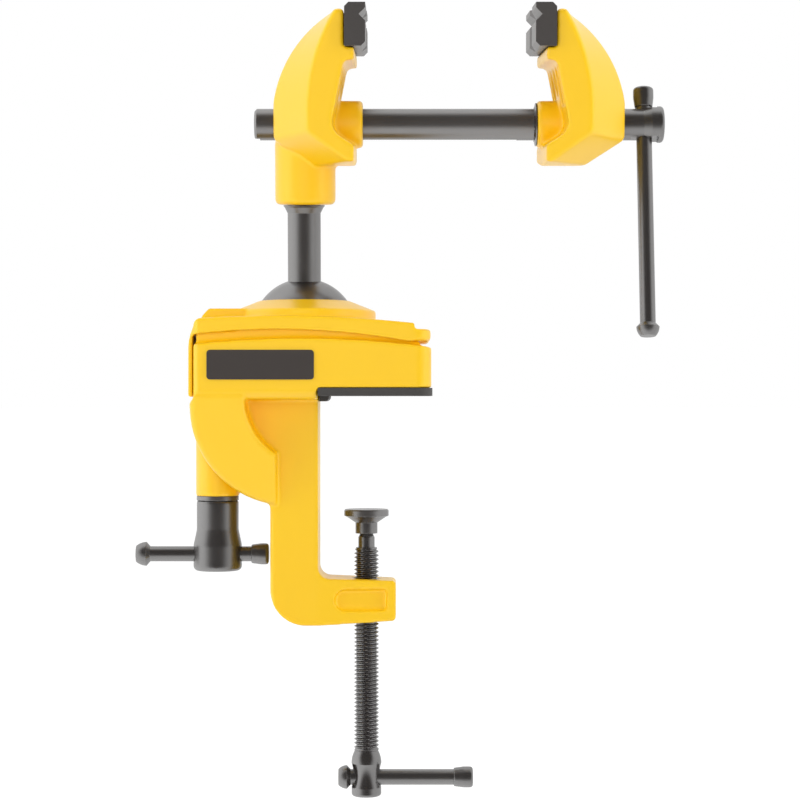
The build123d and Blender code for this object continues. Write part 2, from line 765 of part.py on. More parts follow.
def fixed_jaw():
    shape = mirror(jaw_body(fixed_boss_reach), Plane.YZ)
    shape = Pos(fixed_face, 0, bar_height) * shape
    socket = turned([(0, socket_bottom), (socket_radius - socket_round, socket_bottom),
                     rim_up(socket_radius, socket_bottom, socket_round),
                     (socket_radius, socket_top), (0, socket_top)])
    shape += Pos(socket_shift, 0, 0) * socket
    shape -= rod(stem_radius + running, socket_bottom - 1, stem_top + blind_gap)
    shape -= along_x(rod(tube_radius + running, tube_left, fixed_face), 0, 0, bar_height)
    shape -= Pos(fixed_face - key_setback, 0, bar_height) * rod(key_radius + snug, 2 * spine_foot, 0)
    return head_frame * shape


def moving_jaw():
    shape = Pos(moving_face, 0, bar_height) * jaw_body(moving_boss_reach)
    shape -= along_x(rod(tube_radius + snug, 0, tube_seat), moving_face, 0, bar_height)
    shape -= along_x(rod(lead_radius + running, 0, spine_back + 1), moving_face, 0, bar_height)
    return head_frame * shape


def jaw_pad():
    """A pad with V grooves and two pegs, its working face at X = 0."""
    shape = Pos(jaw_pad_thickness / 2, 0, jaw_pad_base + jaw_pad_height / 2) * Box(
        jaw_pad_thickness, jaw_pad_length, jaw_pad_height)
    long_edges = shape.edges().filter_by(Axis.Y)
    back_top = long_edges.sort_by_distance((jaw_pad_thickness, 0, jaw_pad_top))[0]
    front_low = long_edges.sort_by_distance((0, 0, jaw_pad_base))[0]
    shape = chamfer([back_top, front_low], pad_chamfer)
    vee = Polyline((-1, 0, pad_vee_height - pad_vee - 1), (pad_vee, 0, pad_vee_height),
                   (-1, 0, pad_vee_height + pad_vee + 1), close=True)
    shape -= slab(make_face(vee), jaw_pad_length)
    cross = Polyline((-1, -pad_cross_vee_half - pad_cross_vee_half / pad_cross_vee),
                     (pad_cross_vee, 0), (-1, pad_cross_vee_half + pad_cross_vee_half / pad_cross_vee),
                     close=True)
    shape -= Pos(0, 0, jaw_pad_base - 1) * extrude(make_face(cross), amount=jaw_pad_height + 2)
    for side in (-1, 1):
        peg = along_x(rod(peg_radius, 0, peg_length + seat_gap), jaw_pad_thickness - 0.5,
                      side * peg_spacing / 2, jaw_pad_base + peg_rise)
        shape += peg
    return shape


def fixed_jaw_pad():
    return head_frame * Pos(fixed_face, 0, bar_height) * mirror(jaw_pad(), Plane.YZ)


def moving_jaw_pad():
    return head_frame * Pos(moving_face, 0, bar_height) * jaw_pad()


# ---- slide bar and lead screw ----------------------------------------------------------
def slide_tube():
    """The hollow slide bar, slotted underneath for the nut's key."""
    length = tube_right - tube_left
    tube = turned([(tube_bore, 0), (tube_radius - tube_end_chamfer, 0),
                   (tube_radius, tube_end_chamfer), (tube_radius, length), (tube_bore, length)])
    tube = along_x(tube, tube_left)
    slot_half = key_radius + key_slot_gap
    key_x = fixed_face - key_setback
    tube -= box(key_x - slot_half, key_x + jaw_opening + slot_half, -slot_half, slot_half,
                -tube_radius - 1, 0)
    tube -= box(tube_left - 1, tube_left + tube_notch_length, -tube_radius, tube_radius,
                -tube_radius - 1, -tube_radius + tube_notch)
    return head_frame * Pos(0, 0, bar_height) * tube


def tube_star_ring():
    """A dished push-on ring against the moving jaw's boss."""
    inner = tube_radius + snug
    dish = turned([(inner, star_ring_dish), (star_ring_radius, 0),
                   (star_ring_radius, star_ring_thickness),
                   (inner, star_ring_dish + star_ring_thickness)])
    face = moving_face + moving_boss_reach
    reach = star_ring_dish + star_ring_thickness
    return head_frame * along_x(dish, face - reach, 0, bar_height)


def lead_nut():
    """The threaded sleeve that rides inside the slide bar."""
    start = fixed_face - nut_front - nut_length
    sleeve = rod(tube_bore - running, 0, nut_length) - rod(lead_radius + running, -1, nut_length + 1)
    nut = along_x(sleeve, start, 0, bar_height)
    nut -= Pos(fixed_face - key_setback, 0, bar_height) * rod(key_radius + snug, 2 * spine_foot, 0)
    return head_frame * nut


def nut_key():
    """The pin that keys the nut to the fixed jaw through the bar's slot."""
    top = bar_height - lead_radius - seat_gap
    low = bar_height + spine_foot + blind_gap
    return head_frame * Pos(fixed_face - key_setback, 0, 0) * rod(key_radius, low, top)


def lead_screw():
    """The screw with its swelling hub, turned in one piece."""
    start = fixed_face - lead_stub
    shank = hub_face - start
    clip_low = moving_face + tube_seat - clip_side_gap - clip_thickness - start
    clip_high = clip_low + clip_thickness
    hub_low = shank + clip_side_gap
    hub_end = shank + hub_length
    body = turned([(0, 0), (lead_radius - lead_lead_in, 0), (lead_radius, lead_lead_in),
                   (lead_radius, clip_low), (lead_radius - clip_groove, clip_low),
                   (lead_radius - clip_groove, clip_high), (lead_radius, clip_high),
                   (lead_radius, hub_low), (hub_neck, hub_low), (hub_neck, shank + hub_neck_length),
                   (hub_swell, shank + hub_swell_start), (hub_swell, hub_end - hub_rim),
                   rim_over(hub_swell, hub_end, hub_rim), (0, hub_end)])
    screw = along_x(body, start)
    hole_x = hub_face + hub_cross_hole
    screw -= Pos(hole_x, 0, 0) * rod(jaw_bar_radius + running, -2 * hub_swell, 2 * hub_swell)
    flats = box(hole_x - hub_flat_half, hole_x + hub_flat_half, -hub_swell, hub_swell,
                hub_neck - hub_flat_depth, 2 * hub_swell)
    screw -= flats + mirror(flats, Plane.XY)
    return screw_frame() * screw


def screw_frame():
    """The lead screw's own frame: its cross bar is turned a little off plumb."""
    return head_frame * Pos(0, 0, bar_height) * Rot(-head_lean - bar_swing, 0, 0)


def screw_clip():
    """The ring in the lead screw's groove, inside the slide bar."""
    ring = rod(clip_radius, 0, clip_thickness - clip_side_gap)
    ring -= rod(lead_radius - clip_groove + snug, -1, clip_thickness + 1)
    ring -= box(-clip_gap / 2, clip_gap / 2, 0, 2 * clip_radius, -1, clip_thickness + 1)
    place = moving_face + tube_seat - clip_side_gap / 2 - clip_thickness
    return screw_frame() * along_x(ring, place)


def jaw_bar():
    rod_top = jaw_bar_up - knob_end
    bar = handle_rod(jaw_bar_radius, jaw_bar_down + rod_top, jaw_head_radius, jaw_head_length)
    return screw_frame() * Pos(hub_face + hub_cross_hole, 0, -jaw_bar_down) * bar


def jaw_bar_knob():
    knob = barrel(jaw_knob_radius, jaw_knob_length, jaw_bar_radius + snug)
    low = jaw_bar_up - jaw_knob_length
    return screw_frame() * Pos(hub_face + hub_cross_hole, 0, low) * knob


# ---- bench clamp screw -----------------------------------------------------------------
def swivel_pad():
    """The pressure pad, held on the screw's ball tip."""
    rim_low = swivel_top - swivel_rim
    pad = turned([(0, swivel_bottom), (swivel_neck, swivel_bottom),
                  (swivel_neck, swivel_cone_bottom), (swivel_radius - swivel_cone_inset, rim_low),
                  (swivel_radius, rim_low + swivel_edge), (swivel_radius, swivel_top - swivel_edge),
                  (swivel_radius - swivel_edge, swivel_top), (0, swivel_top)])
    pad -= Pos(0, 0, tip_ball_z) * Sphere(tip_ball + ball_clearance)
    return pad - rod(tip_neck + swivel_neck_gap, swivel_bottom - 1, tip_ball_z)


def clamp_screw():
    """The clamp screw with its ball tip and waisted hub."""
    low = clamp_hub_bottom
    hub_top = clamp_thread_bottom
    core = clamp_radius - clamp_thread_depth
    body = turned([(0, low), (clamp_hub_foot - clamp_hub_rim, low),
                   rim_up(clamp_hub_foot, low, clamp_hub_rim), (clamp_hub_foot, low + clamp_foot_rise),
                   (clamp_hub_waist, low + clamp_waist_rise,
                    clamp_hub_shoulder, low + clamp_shoulder_rise),
                   (clamp_hub_neck, hub_top), (clamp_radius, hub_top),
                   (clamp_radius, clamp_thread_top - clamp_lead_in), (core, clamp_thread_top),
                   (tip_radius, clamp_thread_top), (tip_radius, tip_top),
                   (tip_neck, tip_top + tip_shoulder), (tip_neck, tip_ball_z), (0, tip_ball_z)])
    body += Pos(0, 0, tip_ball_z) * Sphere(tip_ball)
    return body - along_x(rod(clamp_bar_radius + running, -2 * clamp_hub_shoulder,
                               2 * clamp_hub_shoulder), 0, 0, clamp_bar_z)


def clamp_bar():
    length = clamp_bar_right - clamp_bar_left - knob_end
    bar = handle_rod(clamp_bar_radius, length, clamp_head_radius, clamp_head_length)
    return along_x(bar, clamp_bar_left, 0, clamp_bar_z)


def clamp_bar_knob():
    knob = barrel(clamp_knob_radius, clamp_knob_length, clamp_bar_radius + snug)
    return along_x(knob, clamp_bar_right - clamp_knob_length, 0, clamp_bar_z)


# ---- ball lock ---------------------------------------------------------------------------
def nut_outline(inner_radius):
    """A hexagon with flats towards the casting's ends."""
    return RegularPolygon(inner_radius, 6, major_radius=False, rotation=30)


def lock_nut():
    """The hexagon nut held in the cap's ear."""
    blank = extrude(nut_outline(lock_nut_flats / 2), amount=lock_nut_height)
    rounding = turned([(0, 0), (nut_face_radius, 0), (nut_corner_radius, nut_rounding),
                       (nut_corner_radius, lock_nut_height - nut_rounding),
                       (nut_face_radius, lock_nut_height), (0, lock_nut_height)])
    nut = (blank & rounding) - rod(lock_bolt_radius + running, -1, lock_nut_height + 1)
    return Pos(lock_x, 0, lock_nut_floor) * nut


def lock_washer():
    top = lock_boss_bottom
    ring = rod(washer_radius, top - washer_thickness, top)
    return Pos(lock_x, 0, 0) * (ring - rod(lock_bolt_radius + running, top - 5, top + 1))


def lock_screw():
    """The long lock bolt and its handle hub."""
    top = lock_nut_floor + lock_nut_height + lock_bolt_reach
    hub_top = lock_boss_bottom - washer_thickness
    low = lock_hub_bottom
    body = turned([(0, low), (lock_hub_radius - lock_hub_rim, low),
                   rim_up(lock_hub_radius, low, lock_hub_rim),
                   (lock_hub_radius, low + lock_cone_low),
                   (lock_hub_top_radius, low + lock_cone_high),
                   (lock_hub_top_radius, hub_top - lock_hub_chamfer),
                   (lock_hub_top_radius - lock_hub_chamfer, hub_top),
                   (lock_bolt_radius, hub_top), (lock_bolt_radius, top - lead_lead_in),
                   (lock_bolt_radius - lead_lead_in, top), (0, top)])
    body -= along_x(rod(lock_bar_radius + running, -2 * lock_hub_radius,
                    2 * lock_hub_radius), 0, 0, lock_bar_z)
    return Pos(lock_x, 0, 0) * body


def lock_bar():
    length = lock_bar_right - lock_bar_left - knob_end
    bar = handle_rod(lock_bar_radius, length, lock_head_radius, lock_head_length)
    return along_x(bar, lock_bar_left, 0, lock_bar_z)


def lock_bar_knob():
    knob = barrel(lock_knob_radius, lock_knob_length, lock_bar_radius + snug)
    return along_x(knob, lock_bar_right - lock_knob_length, 0, lock_bar_z)


pieces = [clamp_frame, clamp_cap, bench_pad, front_plate, lock_nut,
          ball_seat, ball_stem,
          fixed_jaw, fixed_jaw_pad, lead_nut, nut_key,
          moving_jaw, moving_jaw_pad, slide_tube, tube_star_ring,
          lead_screw, screw_clip, jaw_bar, jaw_bar_knob,
          swivel_pad, clamp_screw, clamp_bar, clamp_bar_knob,
          lock_washer, lock_screw, lock_bar, lock_bar_knob]

os.makedirs("parts", exist_ok=True)
for piece in pieces:
    export_step(piece(), "parts/" + piece.__name__ + ".step")
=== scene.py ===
import math

import bmesh
import bpy
import numpy as np
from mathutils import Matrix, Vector


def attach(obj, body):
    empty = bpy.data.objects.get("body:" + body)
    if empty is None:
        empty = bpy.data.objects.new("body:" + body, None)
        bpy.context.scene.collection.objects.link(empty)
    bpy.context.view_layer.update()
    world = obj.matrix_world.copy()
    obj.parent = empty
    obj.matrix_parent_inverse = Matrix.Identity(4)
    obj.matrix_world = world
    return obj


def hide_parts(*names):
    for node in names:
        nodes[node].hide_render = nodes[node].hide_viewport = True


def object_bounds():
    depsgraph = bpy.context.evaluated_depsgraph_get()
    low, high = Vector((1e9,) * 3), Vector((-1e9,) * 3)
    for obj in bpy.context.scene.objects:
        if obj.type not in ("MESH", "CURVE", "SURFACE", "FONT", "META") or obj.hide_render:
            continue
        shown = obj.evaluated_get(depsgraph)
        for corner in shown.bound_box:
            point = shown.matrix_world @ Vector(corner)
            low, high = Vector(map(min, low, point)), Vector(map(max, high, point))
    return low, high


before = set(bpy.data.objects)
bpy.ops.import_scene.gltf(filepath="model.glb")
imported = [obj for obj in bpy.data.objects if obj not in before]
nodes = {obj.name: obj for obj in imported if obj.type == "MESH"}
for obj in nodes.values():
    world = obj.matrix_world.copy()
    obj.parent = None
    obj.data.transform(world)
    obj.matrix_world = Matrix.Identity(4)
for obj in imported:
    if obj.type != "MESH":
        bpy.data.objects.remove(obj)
cadBox = [[float(v) for v in corner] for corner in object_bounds()]
turn = 2 * math.pi
print("frame loaded with", len(nodes), "nodes")

bevelSamples = 6                       # rays that look for each softened corner
mixA, mixB, mixResult = 6, 7, 2        # sockets of a Mix node that is set to colour


def hexColour(code):
    # sRGB hex to the linear numbers that the sockets take
    channels = [int(code[i:i + 2], 16) / 255 for i in (1, 3, 5)]
    linear = [c / 12.92 if c <= 0.04045 else ((c + 0.055) / 1.055) ** 2.4 for c in channels]
    return (*linear, 1.0)


def perMillimetre(size):
    # texture scale that makes one feature about this many millimetres across
    return 1000 / size


def addNode(tree, kind, inputs=None, **settings):
    # one shader node, with its settings, its socket values and its links
    node = tree.nodes.new(kind)
    for name, value in settings.items():
        setattr(node, name, value)
    for name, value in (inputs or {}).items():
        if isinstance(value, bpy.types.NodeSocket):
            tree.links.new(value, node.inputs[name])
        else:
            node.inputs[name].default_value = value
    return node


def newMaterial(name):
    material = bpy.data.materials.new(name)
    material.use_nodes = True
    material.node_tree.nodes.clear()
    return material, material.node_tree


def closeMaterial(tree, shader):
    addNode(tree, "ShaderNodeOutputMaterial", {"Surface": shader.outputs[0]})


# powder coat, a polyester enamel baked on a die casting: flat even colour, soft
# corners, and a faint orange peel that only shows where light grazes it
enamelLook = {
    "colour": "#fecd14",
    "pooled": "#fdc911",               # where the coat lies a little thicker
    "ior": 1.5,
    "roughness": (0.29, 0.40),         # of the thin patches and of the thick ones
    "cloud": 26,                       # mm between them
    "peel": 1.6,                       # mm between the humps of the orange peel
    "peelDepth": 0.00010,              # metres, as every depth here
    "grit": 0.45,                      # mm, coarser than real powder grains so that it shows
    "gritDepth": 0.00004,
    "bump": 0.12,
    "edge": 0.0006,                    # metres, how softly the coat rounds a corner
}


def enamelMaterial():
    look = enamelLook
    material, tree = newMaterial("powderCoatYellow")
    spot = addNode(tree, "ShaderNodeTexCoord").outputs["Object"]
    cloud = addNode(tree, "ShaderNodeTexNoise", {
        "Vector": spot, "Scale": perMillimetre(look["cloud"]), "Detail": 3.0})
    peel = addNode(tree, "ShaderNodeTexNoise", {
        "Vector": spot, "Scale": perMillimetre(look["peel"]), "Detail": 1.0})
    grit = addNode(tree, "ShaderNodeTexNoise", {
        "Vector": spot, "Scale": perMillimetre(look["grit"]), "Detail": 2.0})
    tint = addNode(tree, "ShaderNodeMix", {
        0: cloud.outputs[0], mixA: hexColour(look["colour"]),
        mixB: hexColour(look["pooled"])}, data_type="RGBA")
    rough = addNode(tree, "ShaderNodeMapRange", {
        "Value": cloud.outputs[0], "To Min": look["roughness"][0],
        "To Max": look["roughness"][1]})
    corner = addNode(tree, "ShaderNodeBevel", {"Radius": look["edge"]}, samples=bevelSamples)
    peelBump = addNode(tree, "ShaderNodeBump", {
        "Height": peel.outputs[0], "Strength": look["bump"], "Distance": look["peelDepth"],
        "Normal": corner.outputs[0]})
    gritBump = addNode(tree, "ShaderNodeBump", {
        "Height": grit.outputs[0], "Strength": look["bump"], "Distance": look["gritDepth"],
        "Normal": peelBump.outputs[0]})
    closeMaterial(tree, addNode(tree, "ShaderNodeBsdfPrincipled", {
        "Base Color": tint.outputs[mixResult], "Roughness": rough.outputs[0],
        "IOR": look["ior"], "Normal": gritBump.outputs[0]}))
    return material


# black oxide on turned steel, oiled: the magnetite skin shines more than paint does, so
# the bars show dark middles and bright sides; edges that hands rub are a little greyer
oxideLook = {
    "colour": "#282422",
    "rubbed": "#474340",
    "rubbedEdges": (0.52, 0.62),       # pointiness where the wear starts and where it is full
    "rubbedMost": 0.7,
    "ior": 2.0,                        # between the oil's and the magnetite's
    "roughness": (0.24, 0.38),
    "cloud": 9,                        # mm between smoother and rougher patches
    "grain": 0.5,                      # mm between tool marks, drawn coarse enough to show
    "grainDepth": 0.00004,
    "bump": 0.15,
    "edge": 0.00025,
}
# on a cut thread and a stamped ring the same oxide is smoother: crests shine, edges are crisp
threadChanges = {"roughness": (0.16, 0.30), "edge": 0.00005}


def oxideMaterial(name, changes=None):
    look = dict(oxideLook, **(changes or {}))
    material, tree = newMaterial(name)
    spot = addNode(tree, "ShaderNodeTexCoord").outputs["Object"]
    cloud = addNode(tree, "ShaderNodeTexNoise", {
        "Vector": spot, "Scale": perMillimetre(look["cloud"]), "Detail": 4.0})
    grain = addNode(tree, "ShaderNodeTexNoise", {
        "Vector": spot, "Scale": perMillimetre(look["grain"]), "Detail": 2.0})
    ridge = addNode(tree, "ShaderNodeNewGeometry")
    wear = addNode(tree, "ShaderNodeMapRange", {
        "Value": ridge.outputs["Pointiness"], "From Min": look["rubbedEdges"][0],
        "From Max": look["rubbedEdges"][1], "To Min": 0.0, "To Max": look["rubbedMost"]})
    tint = addNode(tree, "ShaderNodeMix", {
        0: wear.outputs[0], mixA: hexColour(look["colour"]),
        mixB: hexColour(look["rubbed"])}, data_type="RGBA")
    rough = addNode(tree, "ShaderNodeMapRange", {
        "Value": cloud.outputs[0], "To Min": look["roughness"][0],
        "To Max": look["roughness"][1]})
    corner = addNode(tree, "ShaderNodeBevel", {"Radius": look["edge"]}, samples=bevelSamples)
    bump = addNode(tree, "ShaderNodeBump", {
        "Height": grain.outputs[0], "Strength": look["bump"], "Distance": look["grainDepth"],
        "Normal": corner.outputs[0]})
    closeMaterial(tree, addNode(tree, "ShaderNodeBsdfPrincipled", {
        "Base Color": tint.outputs[mixResult], "Roughness": rough.outputs[0],
        "IOR": look["ior"], "Normal": bump.outputs[0]}))
    return material


# moulded pieces: an even matt surface with the spark-eroded grain of their tool
mouldedLook = {
    "glassFilledNylon": {
        "colour": "#433f3d", "roughness": (0.34, 0.46), "grain": 0.5, "depth": 0.00006},
    "nitrileRubber": {
        "colour": "#3d3b39", "roughness": (0.60, 0.72), "grain": 0.7, "depth": 0.00010},
    "blankPlateAbs": {
        "colour": "#3c3633", "roughness": (0.36, 0.48), "grain": 0.6, "depth": 0.00003},
    "acetalRing": {
        "colour": "#2c2b2a", "roughness": (0.39, 0.51), "grain": 0.6, "depth": 0.00003},
}
mouldedShared = {"ior": 1.5, "bump": 0.3, "edge": 0.0003}


def mouldedMaterial(name):
    look = dict(mouldedShared, **mouldedLook[name])
    material, tree = newMaterial(name)
    spot = addNode(tree, "ShaderNodeTexCoord").outputs["Object"]
    pit = addNode(tree, "ShaderNodeTexNoise", {
        "Vector": spot, "Scale": perMillimetre(look["grain"]), "Detail": 2.0})
    rough = addNode(tree, "ShaderNodeMapRange", {
        "Value": pit.outputs[0], "To Min": look["roughness"][0],
        "To Max": look["roughness"][1]})
    corner = addNode(tree, "ShaderNodeBevel", {"Radius": look["edge"]}, samples=bevelSamples)
    bump = addNode(tree, "ShaderNodeBump", {
        "Height": pit.outputs[0], "Strength": look["bump"], "Distance": look["depth"],
        "Normal": corner.outputs[0]})
    closeMaterial(tree, addNode(tree, "ShaderNodeBsdfPrincipled", {
        "Base Color": hexColour(look["colour"]), "Roughness": rough.outputs[0],
        "IOR": look["ior"], "Normal": bump.outputs[0]}))
    return material


# bare metal: its pores or drawing marks break up the reflection
bareMetalLook = {
    "sinteredBronze": {"colour": "#b98b4e", "roughness": 0.42, "grain": 0.6, "depth": 0.00006},
    "bareSpringSteel": {"colour": "#a7a6a8", "roughness": 0.30, "grain": 0.4, "depth": 0.00002},
}
bareMetalBump = 0.25


def bareMetal(name):
    look = bareMetalLook[name]
    material, tree = newMaterial(name)
    spot = addNode(tree, "ShaderNodeTexCoord").outputs["Object"]
    pores = addNode(tree, "ShaderNodeTexNoise", {
        "Vector": spot, "Scale": perMillimetre(look["grain"]), "Detail": 3.0})
    bump = addNode(tree, "ShaderNodeBump", {
        "Height": pores.outputs[0], "Strength": bareMetalBump, "Distance": look["depth"]})
    closeMaterial(tree, addNode(tree, "ShaderNodeBsdfPrincipled", {
        "Base Color": hexColour(look["colour"]), "Metallic": 1.0,
        "Roughness": look["roughness"], "Normal": bump.outputs[0]}))
    return material


def dress(nodeNames, material):
    for name in nodeNames:
        for slot in nodes[name].material_slots:
            slot.material = material


enamel = enamelMaterial()
oxide = oxideMaterial("blackOxideSteel")
threadOxide = oxideMaterial("blackOxideThread", threadChanges)
dress(["ball_stem", "slide_tube", "lead_screw", "jaw_bar", "clamp_bar", "swivel_pad",
       "lock_washer", "lock_bar", "lock_nut", "nut_key"], oxide)
dress(["fixed_jaw_pad", "moving_jaw_pad"], mouldedMaterial("glassFilledNylon"))
dress(["bench_pad"], mouldedMaterial("nitrileRubber"))
dress(["front_plate"], mouldedMaterial("blankPlateAbs"))
dress(["ball_seat"], mouldedMaterial("acetalRing"))
dress(["lead_nut"], bareMetal("sinteredBronze"))
dress(["screw_clip"], bareMetal("bareSpringSteel"))
print("finishes on")

crispFrom = math.radians(35)           # faces that meet at more than this keep a crisp edge


def inScene(name, data):
    thing = bpy.data.objects.new(name, data)
    bpy.context.scene.collection.objects.link(thing)
    return thing


def newPiece(mesh, material, body, replaced):
    piece = inScene(mesh.name, mesh)
    mesh.materials.append(material)
    mesh.polygons.foreach_set("use_smooth", [True] * len(mesh.polygons))
    mesh.set_sharp_from_angle(angle=crispFrom)
    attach(piece, body)
    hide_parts(replaced)


def finishedMesh(name, holder, helpers=()):
    # the mesh that the holder's modifiers make; the holder and its helpers are thrown away
    bpy.context.view_layer.update()
    graph = bpy.context.evaluated_depsgraph_get()
    result = bpy.data.meshes.new_from_object(holder.evaluated_get(graph))
    for thing in (holder, *helpers):
        mesh = thing.data
        bpy.data.objects.remove(thing)
        bpy.data.meshes.remove(mesh)
    result.name = name
    return result


def turnedMesh(name, rings):
    # rings is rows x columns x 3; the first and the last are closed by a point at their middle
    rows, columns = rings.shape[:2]
    ends = np.stack([rings[0].mean(0), rings[-1].mean(0)])
    verts = np.concatenate([rings.reshape(-1, 3), ends])
    index = np.arange(rows * columns).reshape(rows, columns)
    following = np.roll(index, -1, axis=1)
    quads = np.stack([index[:-1], following[:-1], following[1:], index[1:]], -1).reshape(-1, 4)
    lowFan = np.stack([following[0], index[0], np.full(columns, rows * columns)], -1)
    highFan = np.stack([index[-1], following[-1], np.full(columns, rows * columns + 1)], -1)
    mesh = bpy.data.meshes.new(name)
    mesh.from_pydata(verts.tolist(), [], quads.tolist() + lowFan.tolist() + highFan.tolist())
    mesh.update()
    return mesh


def turnedPath(corners, step):
    # a turned outline as evenly stepped points between its corners, in millimetres
    places = [np.array(corners[:1], float)]
    for (r0, z0), (r1, z1) in zip(corners, corners[1:]):
        count = max(1, int(math.ceil(math.hypot(r1 - r0, z1 - z0) / step)))
        share = np.linspace(0, 1, count + 1)[1:, None]
        places.append((1 - share) * [r0, z0] + share * [r1, z1])
    return np.concatenate(places)


def arcPoints(start, middle, end, count):
    # points along the circle through three points, without its start; its centre (ox, oy)
    # is equally far from all three
    (ax, ay), (bx, by), (cx, cy) = start, middle, end
    area = 2 * (ax * (by - cy) + bx * (cy - ay) + cx * (ay - by))
    ox = ((ax ** 2 + ay ** 2) * (by - cy) + (bx ** 2 + by ** 2) * (cy - ay)
          + (cx ** 2 + cy ** 2) * (ay - by)) / area
    oy = ((ax ** 2 + ay ** 2) * (cx - bx) + (bx ** 2 + by ** 2) * (ax - cx)
          + (cx ** 2 + cy ** 2) * (bx - ax)) / area
    radius = math.hypot(ax - ox, ay - oy)
    first, mid, last = [math.atan2(y - oy, x - ox) for x, y in (start, middle, end)]
    mid += turn * round((first - mid) / turn)
    last += turn * round((mid - last) / turn)
    angles = np.linspace(first, last, count + 1)[1:]
    return list(zip(ox + radius * np.cos(angles), oy + radius * np.sin(angles)))


# the clamp screw, all in millimetres; a rise is a height above the hub's bottom
clampThread = {                        # 7/16-14
    "radius": 5.55, "pitch": 1.814, "depth": 1.02, "low": -159.2, "high": -67.2,
    "crestFlat": 1 / 8, "rootFlat": 1 / 4,             # shares of the pitch
    "stepsPerPitch": 12, "columns": 72,
}
clampHub = {
    "bottom": -179.8, "innermost": 0.4, "foot": 6.7, "rim": 1.3, "footRise": 4.0,
    "waist": 5.85, "waistRise": 9.8, "shoulder": 6.75, "shoulderRise": 14.8,
    "swell": 6.35, "swellRise": 17.8, "neck": 5.25, "top": -159.3, "threadStart": 0.2,
    "rimPoints": 6, "waistPoints": 16, "swellPoints": 8,
    "barHeight": -171.4, "holeRadius": 3.55, "holeReach": 12, "holeSides": 48,
}
clampTip = {
    "coreTop": -68.0, "leadIn": 2.2, "core": 4.65, "radius": 3.7, "top": -63.5, "bevel": 1.8,
    "neck": 2.8, "ball": 3.4, "ballHeight": -57.6, "ballPoints": 14,
    "ballFlat": 0.12,                  # radians from the ball's top to its last ring
}


def threadedTurning(name, outline, thread):
    # surface: (angle, place along the outline) to a point at the outline's radius, less the
    # depth of a V groove wherever height / pitch - angle / turn runs through the thread
    path = turnedPath(outline, thread["pitch"] / thread["stepsPerPitch"])
    angle = np.arange(thread["columns"]) * turn / thread["columns"]
    radius, height = path[:, :1], path[:, 1:]
    phase = (height / thread["pitch"] - angle[None] / turn) % 1
    slope = np.abs(2 * phase - 1)                      # 0 on the crest, 1 in the root
    crest, root = thread["crestFlat"], thread["rootFlat"]
    groove = np.clip((slope - crest) / (1 - crest - root), 0, 1)
    fade = (np.clip((height - thread["low"]) / thread["pitch"], 0, 1)
            * np.clip((thread["high"] - height) / thread["pitch"], 0, 1))
    cut = thread["radius"] - thread["depth"] * groove * fade
    onThread = (height >= thread["low"]) & (height <= thread["high"])
    reach = np.where(onThread, np.minimum(radius, cut), radius)
    rings = np.stack([reach * np.cos(angle), reach * np.sin(angle),
                      np.broadcast_to(height, reach.shape)], -1)
    return turnedMesh(name, rings / 1000)


def crossBar(name, hub):
    # a round bar along X at the handle's height, to cut the hub's cross hole with
    sides, radius = hub["holeSides"], hub["holeRadius"]
    angle = np.linspace(0, turn, sides, endpoint=False)
    rings = np.stack([np.stack([np.full(sides, x), radius * np.cos(angle),
                                hub["barHeight"] + radius * np.sin(angle)], -1)
                      for x in (-hub["holeReach"], hub["holeReach"])])
    return turnedMesh(name, rings / 1000)


def cutAway(mesh, cutterMesh):
    # the mesh with the cutter's space taken out of it
    target, cutter = inScene("target", mesh), inScene("cutter", cutterMesh)
    cut = target.modifiers.new("cut", "BOOLEAN")
    cut.operation = "DIFFERENCE"
    cut.solver = "EXACT"
    cut.object = cutter
    return finishedMesh(mesh.name, target, [cutter])


def clampScrewMesh():
    # from the bottom up: the foot with its rounded rim, the waist, the shoulder that swells
    # into the neck, the thread, the plain tip and its ball
    hub, tip, thread = clampHub, clampTip, clampThread
    low = hub["bottom"]
    slack = hub["rim"] * (1 - math.sqrt(0.5))
    footEdge = (hub["foot"] - hub["rim"], low)
    footSide = (hub["foot"], low + hub["rim"])
    footTop = (hub["foot"], low + hub["footRise"])
    waist = (hub["waist"], low + hub["waistRise"])
    shoulder = (hub["shoulder"], low + hub["shoulderRise"])
    swell = (hub["swell"], low + hub["swellRise"])
    neck = (hub["neck"], hub["top"])
    outline = [(hub["innermost"], low), footEdge]
    outline += arcPoints(footEdge, (hub["foot"] - slack, low + slack), footSide,
                         hub["rimPoints"])
    outline += [footTop]
    outline += arcPoints(footTop, waist, shoulder, hub["waistPoints"])
    outline += arcPoints(shoulder, swell, neck, hub["swellPoints"])
    outline += [(thread["radius"], hub["top"] + hub["threadStart"]),
                (thread["radius"], tip["coreTop"] - tip["leadIn"]), (tip["core"], tip["coreTop"]),
                (tip["radius"], tip["coreTop"]), (tip["radius"], tip["top"]),
                (tip["neck"], tip["top"] + tip["bevel"])]
    neckTurn = math.asin(tip["neck"] / tip["ball"])
    outline += [(tip["ball"] * math.sin(a), tip["ballHeight"] + tip["ball"] * math.cos(a))
                for a in np.linspace(math.pi - neckTurn, tip["ballFlat"], tip["ballPoints"])]
    return cutAway(threadedTurning("clampScrewThreaded", outline, thread),
                   crossBar("crossHole", hub))


newPiece(clampScrewMesh(), threadOxide, "clamp_screw", "clamp_screw")
print("clamp screw threaded")

# the dished push-on ring where the slide bar leaves the moving jaw, in millimetres
starRing = {
    "plane": 75.8,                     # X of its rim, which lies on the jaw's boss
    "middle": (-8.83, 120.975), "rim": 9.6, "slotRoot": 8.5, "bore": 7.06,
    "thickness": 0.5, "dish": 0.75, "teeth": 9,
    "slotShare": 0.16,                 # of the way from one tooth to the next
    "columns": 360, "across": 8,
}


